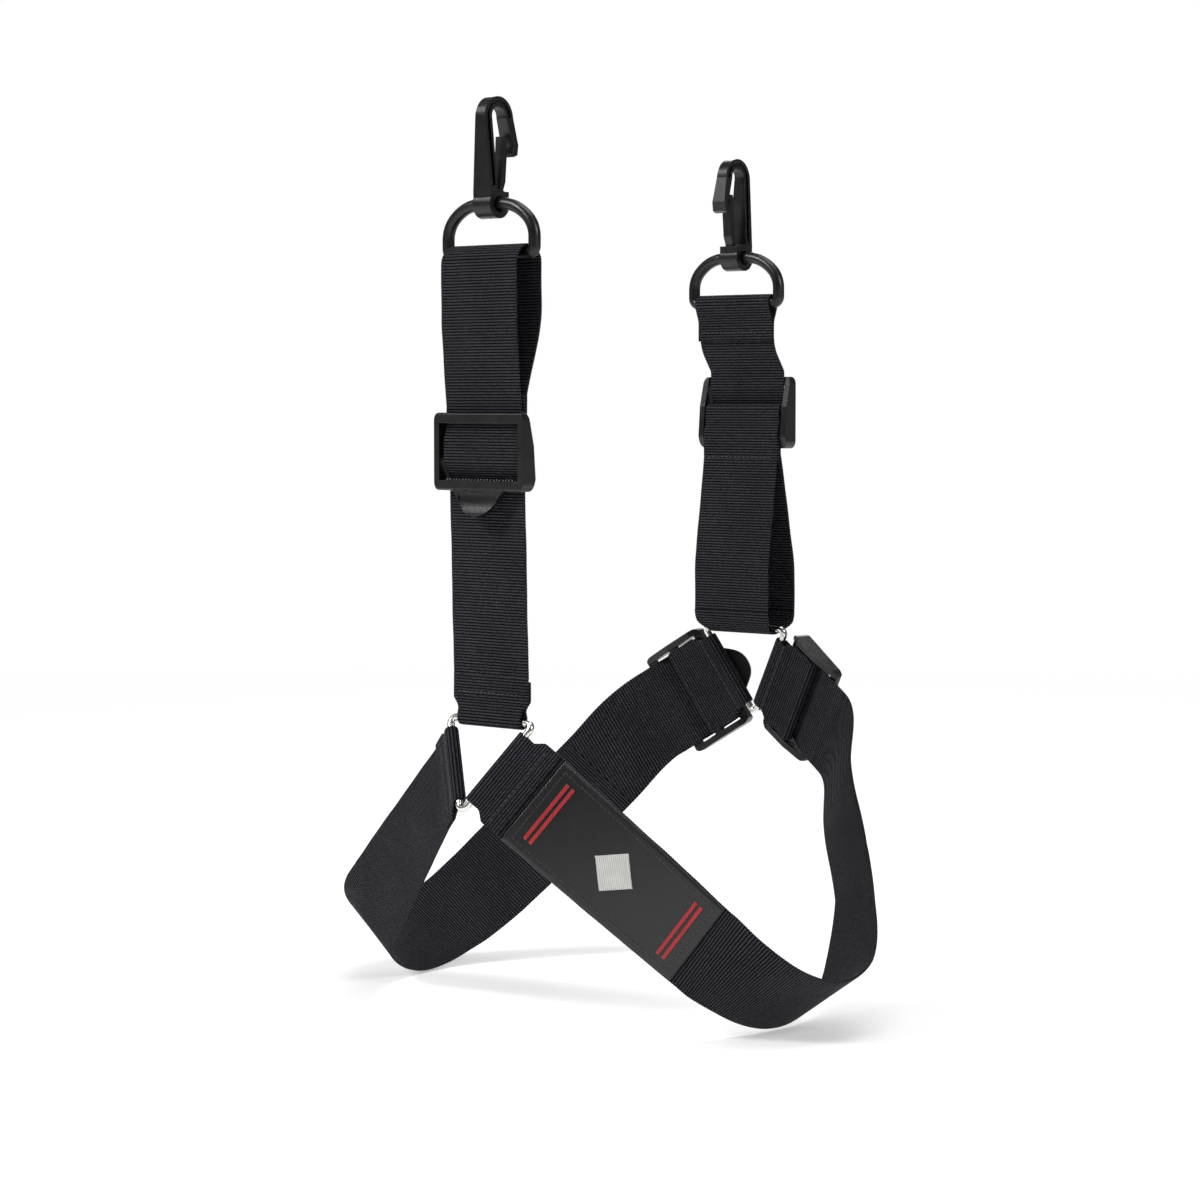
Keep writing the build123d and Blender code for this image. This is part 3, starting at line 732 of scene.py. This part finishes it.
leg, b = leg_run()
free = b - int(LEG_LEAD / STEP)
c = leg.nearest(on_slider(MAIN_LOW, -19), b)
d = leg.nearest(on_slider(MAIN_LOW, -RING_DROP + 1), c)
e = leg.nearest(on_slider(RING_DEPTH + FOLD_RADIUS, -RING_DROP + 1), d)
g = leg.nearest(on_slider(STEP_END, -13), e)
last = len(leg.middle) - 1
for side, run in (("right", leg), ("left", leg.mirrored())):
    still, sliding = "lower_harness", f"{side}_leg_slider_set"
    way = leg_up * Vector((1 if side == "right" else -1, 1, 1))
    feed = (webbing_finish(f"black_webbing_fed_{side}", way), way)
    cut_in_pieces(f"{side}_leg_webbing", run, [
        (free, still), (b, (still, sliding)), (c, sliding), (d, (sliding, still)),
        (e, still), (g, (still, sliding)), (last, sliding)], feed, 0, [f"{side}_leg_strap"])


# ---------------------------------------------------------------- sewn rows and loose ends
def row(name, middle, across, normal, along, body, node=None, span=45.0, seed=1):
    piece = threads(name, stitch_paths(middle, across, normal, along, span, seed=seed), 0.30,
                    black_thread)
    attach(piece, body)
    if node:
        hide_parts(node)


face = THICK + GAP / 2 + 0.02
up = Vector((0, 0, 1))
for number, side in enumerate((1, -1)):
    row(f"front_ring_stitches_{number + 1}", at_front(side * face, 13.5), RIGHT, BACKWARDS * side, up,
        "front_fold", "front_ring_stitching" if side > 0 else None, seed=3 + number)
    row(f"rear_d_ring_stitches_{number + 1}", at_rear(REAR_DEPTH - side * face, REAR_BAR - 15.5), RIGHT,
        BACKWARDS * side, up, "rear_fold", "rear_d_ring_stitching" if side > 0 else None, seed=5 + number)
row("front_slider_stitches", at_front(FRONT_SLIDER[0] + WRAP_BACK + HALF, FRONT_SLIDER[1] + 24),
    RIGHT, BACKWARDS, up, "front_slider_set", "front_slider_stitching", seed=7)
row("rear_slider_stitches", at_rear(REAR_SLIDER[0] + STEP_END + HALF, REAR_SLIDER[1] - 24),
    RIGHT, FORWARDS, up, "rear_slider_set", "rear_slider_stitching", seed=8)

tag_middle = on_slider(8.28 + HALF, -18.5)
for side, flip in (("right", Vector((1, 1, 1))), ("left", Vector((-1, 1, 1)))):
    for number, way in enumerate((1, -1)):
        row(f"{side}_leg_ring_stitches_{number + 1}",
            (front_side + front_along * 13.5 + front_outer * way * face) * flip, front_across * flip,
            front_outer * way * flip, front_along * flip, "lower_harness",
            f"{side}_leg_ring_stitching" if way > 0 else None, seed=11 + number)
    row(f"{side}_leg_slider_stitches", tag_middle * flip, rear_across * flip, rear_inner * flip,
        leg_up * flip, f"{side}_leg_slider_set", f"{side}_leg_slider_stitching", seed=13)

loose = [
    ("front_ring_loose_yarn", front, 0, up, "front_fold"),
    ("front_slider_loose_yarn", front, len(front.middle) - 1, up, "front_slider_set"),
    ("rear_d_ring_loose_yarn", rear, 0, -up, "rear_fold"),
    ("rear_slider_loose_yarn", rear, len(rear.middle) - 1, -up, "rear_slider_set"),
    ("right_leg_loose_yarn", leg, 0, front_along, "lower_harness"),
    ("left_leg_loose_yarn", leg.mirrored(), 0, front_along * Vector((-1, 1, 1)), "lower_harness")]
for number, (name, run, station, outward, body) in enumerate(loose):
    piece = threads(name, fray_paths(run, station, outward, 20 + number), 0.07, frayed_yarn)
    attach(piece, body)


# ---------------------------------------------------------------- the label
def label_sheet(name, start, end, half_at, level, thick, material, steps=40, columns=24):
    """A thin sheet standing off the label's run; half_at gives its half width along it."""
    verts, uvs = [], []
    for i in range(steps + 1):
        share = i / steps
        distance = start + (end - start) * share
        middle, normal, across = straight_at(distance)
        half = half_at(share)
        inset = min(0.35, half * 0.3)
        ring = [(-half, 0.3)] + [(-half + inset + (2 * half - 2 * inset) * k / columns, 1.0)
                                 for k in range(columns + 1)] + [(half, 0.3), (half, 0.0), (-half, 0.0)]
        for x, lift in ring:
            puff = 0.04 * sin(distance / 5.0 + x / 6.0)
            high = HALF + level + lift * thick + (puff if lift else 0.0)
            verts.append(middle + normal * high + across * x)
            uvs.append((distance, x))
    count = columns + 5
    faces = grid_faces(steps + 1, count, flip=True)
    faces.append(tuple(range(count)))
    faces.append(tuple(steps * count + j for j in range(count))[::-1])
    piece = new_mesh(name, to_frame(verts), faces, uvs, material)
    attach(piece, "lower_harness")
    return piece


label_end = LABEL_START + LABEL_LENGTH
label_mid = (LABEL_START + label_end) / 2
patch = label_sheet("label", LABEL_START, label_end, lambda s: LABEL_HALF, LABEL_LIFT, LABEL_THICK,
                    label_cloth, 90)
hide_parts("label_patch")
motif = []
for end, way in ((LABEL_START, 1), (label_end, -1)):
    for offset in BAR_ROWS:
        at = end + way * offset
        motif.append(label_sheet(f"label_bar_{len(motif) + 1}", at - BAR_LENGTH / 2, at + BAR_LENGTH / 2,
                                 lambda s: BAR_REACH, MOTIF_LIFT, 0.45, red_stitch, 6))
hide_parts("label_motif")
label_sheet("label_lozenge", label_mid - LOZENGE, label_mid + LOZENGE,
            lambda s: max(0.3, LOZENGE * (1 - abs(2 * s - 1))), MOTIF_LIFT, 0.5,
            pale_stitch, 30)


def label_border():
    """Lines of running stitch just inside the label's edges."""
    rng = np.random.default_rng(31)
    paths = []
    level = HALF + LABEL_LIFT + LABEL_THICK

    def stitch(d0, x0, d1, x1):
        path = []
        for k in range(5):
            share = k / 4
            middle, normal, across = straight_at(d0 + (d1 - d0) * share)
            arch = 0.16 * (1 - (2 * share - 1) ** 4) - 0.05
            path.append(middle + across * (x0 + (x1 - x0) * share) + normal * (level + arch))
        paths.append(path)

    first, final, edge, pitch = LABEL_START + 4, label_end - 4, 20.5, 2.6
    for way in (1, -1):
        d = first
        while d < final - 1:
            jitter = rng.normal(0, 0.05)
            stitch(d, way * edge + jitter, d + 2.1, way * edge + jitter)
            d += pitch
    for d in (first, final):
        x = -edge
        while x < edge - 1:
            stitch(d, x, d, x + 2.1)
            x += pitch
    return paths


border = threads("label_border_stitches", label_border(), 0.26, black_thread)
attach(border, "lower_harness")
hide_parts("label_border_stitching")

# ---------------------------------------------------------------- hard parts keep their CAD shape
for name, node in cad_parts.items():
    if node.hide_render:
        continue
    finish = nickel if name in ("front_ring", "rear_ring") else plastic
    node.data.materials.clear()
    node.data.materials.append(finish)

# ---------------------------------------------------------------- floor, light and camera
low = Vector(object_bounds()[0])
floor_at = low.z - 0.001


def backdrop():
    """A round pale floor that reaches well past the harness on every side."""
    sides = 96
    turns = [2 * pi * i / sides for i in range(sides)]
    rim = [(FLOOR_REACH * cos(turn), FLOOR_REACH * sin(turn), floor_at) for turn in turns]
    return new_mesh("backdrop", rim, [tuple(range(sides))])


def paper_finish():
    """Pale paper with a faint grain, fading into the white room further out."""
    f = Finish("paper")
    where = f.place("Object")
    grain = f.noise(where, 60.0, 4.0)
    reach = f.node("ShaderNodeVectorMath", operation="LENGTH")
    f.feed(reach.inputs[0], where)
    seen = f.node("ShaderNodeLightPath").outputs["Is Camera Ray"]
    fade = f.node("ShaderNodeMapRange", interpolation_type="SMOOTHSTEP")
    for i, v in enumerate((reach.outputs["Value"], 0.55, 2.2)):
        f.feed(fade.inputs[i], v)
    fade = f.sum("MULTIPLY", fade.outputs[0], seen)
    near = f.blend(grain, (0.82, 0.82, 0.82, 1), (0.86, 0.86, 0.86, 1))
    f.set(Base_Color=f.blend(fade, near, grey(0.0)), Roughness=0.8, Emission_Color=(1, 1, 1, 1),
          Emission_Strength=f.span(fade, 0.0, 1.0, 0.34, 1.0), Normal=f.bump(grain, 0.0004, 0.2),
          Specular_IOR_Level=f.span(fade, 0.0, 1.0, 0.3, 0.0))
    return f.material


sweep = backdrop()
sweep.data.materials.append(paper_finish())


def area_light(name, place, aim, size, power):
    data = bpy.data.lights.new(name, "AREA")
    data.shape, data.size, data.energy = "SQUARE", size, power
    lamp = bpy.data.objects.new(name, data)
    lamp.location = place
    lamp.rotation_euler = (Vector(aim) - Vector(place)).to_track_quat("-Z", "Y").to_euler()
    bpy.context.scene.collection.objects.link(lamp)


area_light("key", (-0.9, -1.3, 1.1), (0, 0.1, -0.25), 0.5, 26)
area_light("side", (1.5, 0.1, 0.6), (0, 0.1, -0.25), 0.5, 10)
area_light("top", (0.1, 0.2, 1.6), (0, 0.1, -0.25), 1.2, 14)
area_light("back", (-0.9, 1.4, 0.7), (0, 0.1, -0.25), 0.8, 9)


def studio_world():
    """A dim room for the harness to sit in, seen as white by the camera."""
    world = bpy.data.worlds.new("studio")
    world.use_nodes = True
    tree = world.node_tree
    room = tree.nodes["Background"]
    room.inputs[0].default_value = (1, 1, 1, 1)
    ray = tree.nodes.new("ShaderNodeLightPath")
    strength = tree.nodes.new("ShaderNodeMapRange")
    strength.inputs[3].default_value, strength.inputs[4].default_value = 0.17, 1.0
    tree.links.new(ray.outputs["Is Camera Ray"], strength.inputs[0])
    tree.links.new(strength.outputs[0], room.inputs[1])
    bpy.context.scene.world = world


studio_world()

camera_data = bpy.data.cameras.new("camera")
camera_data.sensor_width, camera_data.lens = 36.0, LENS
camera = bpy.data.objects.new("camera", camera_data)
camera.location = (1.0240, -1.0999, -0.1367)
pitch, turn = radians(PITCH), radians(HEADING)
heading = Vector((-sin(turn) * cos(pitch), cos(turn) * cos(pitch), -sin(pitch)))
camera.rotation_euler = heading.to_track_quat("-Z", "Y").to_euler()
bpy.context.scene.collection.objects.link(camera)
bpy.context.scene.camera = camera
bpy.context.scene.view_settings.view_transform = "Standard"
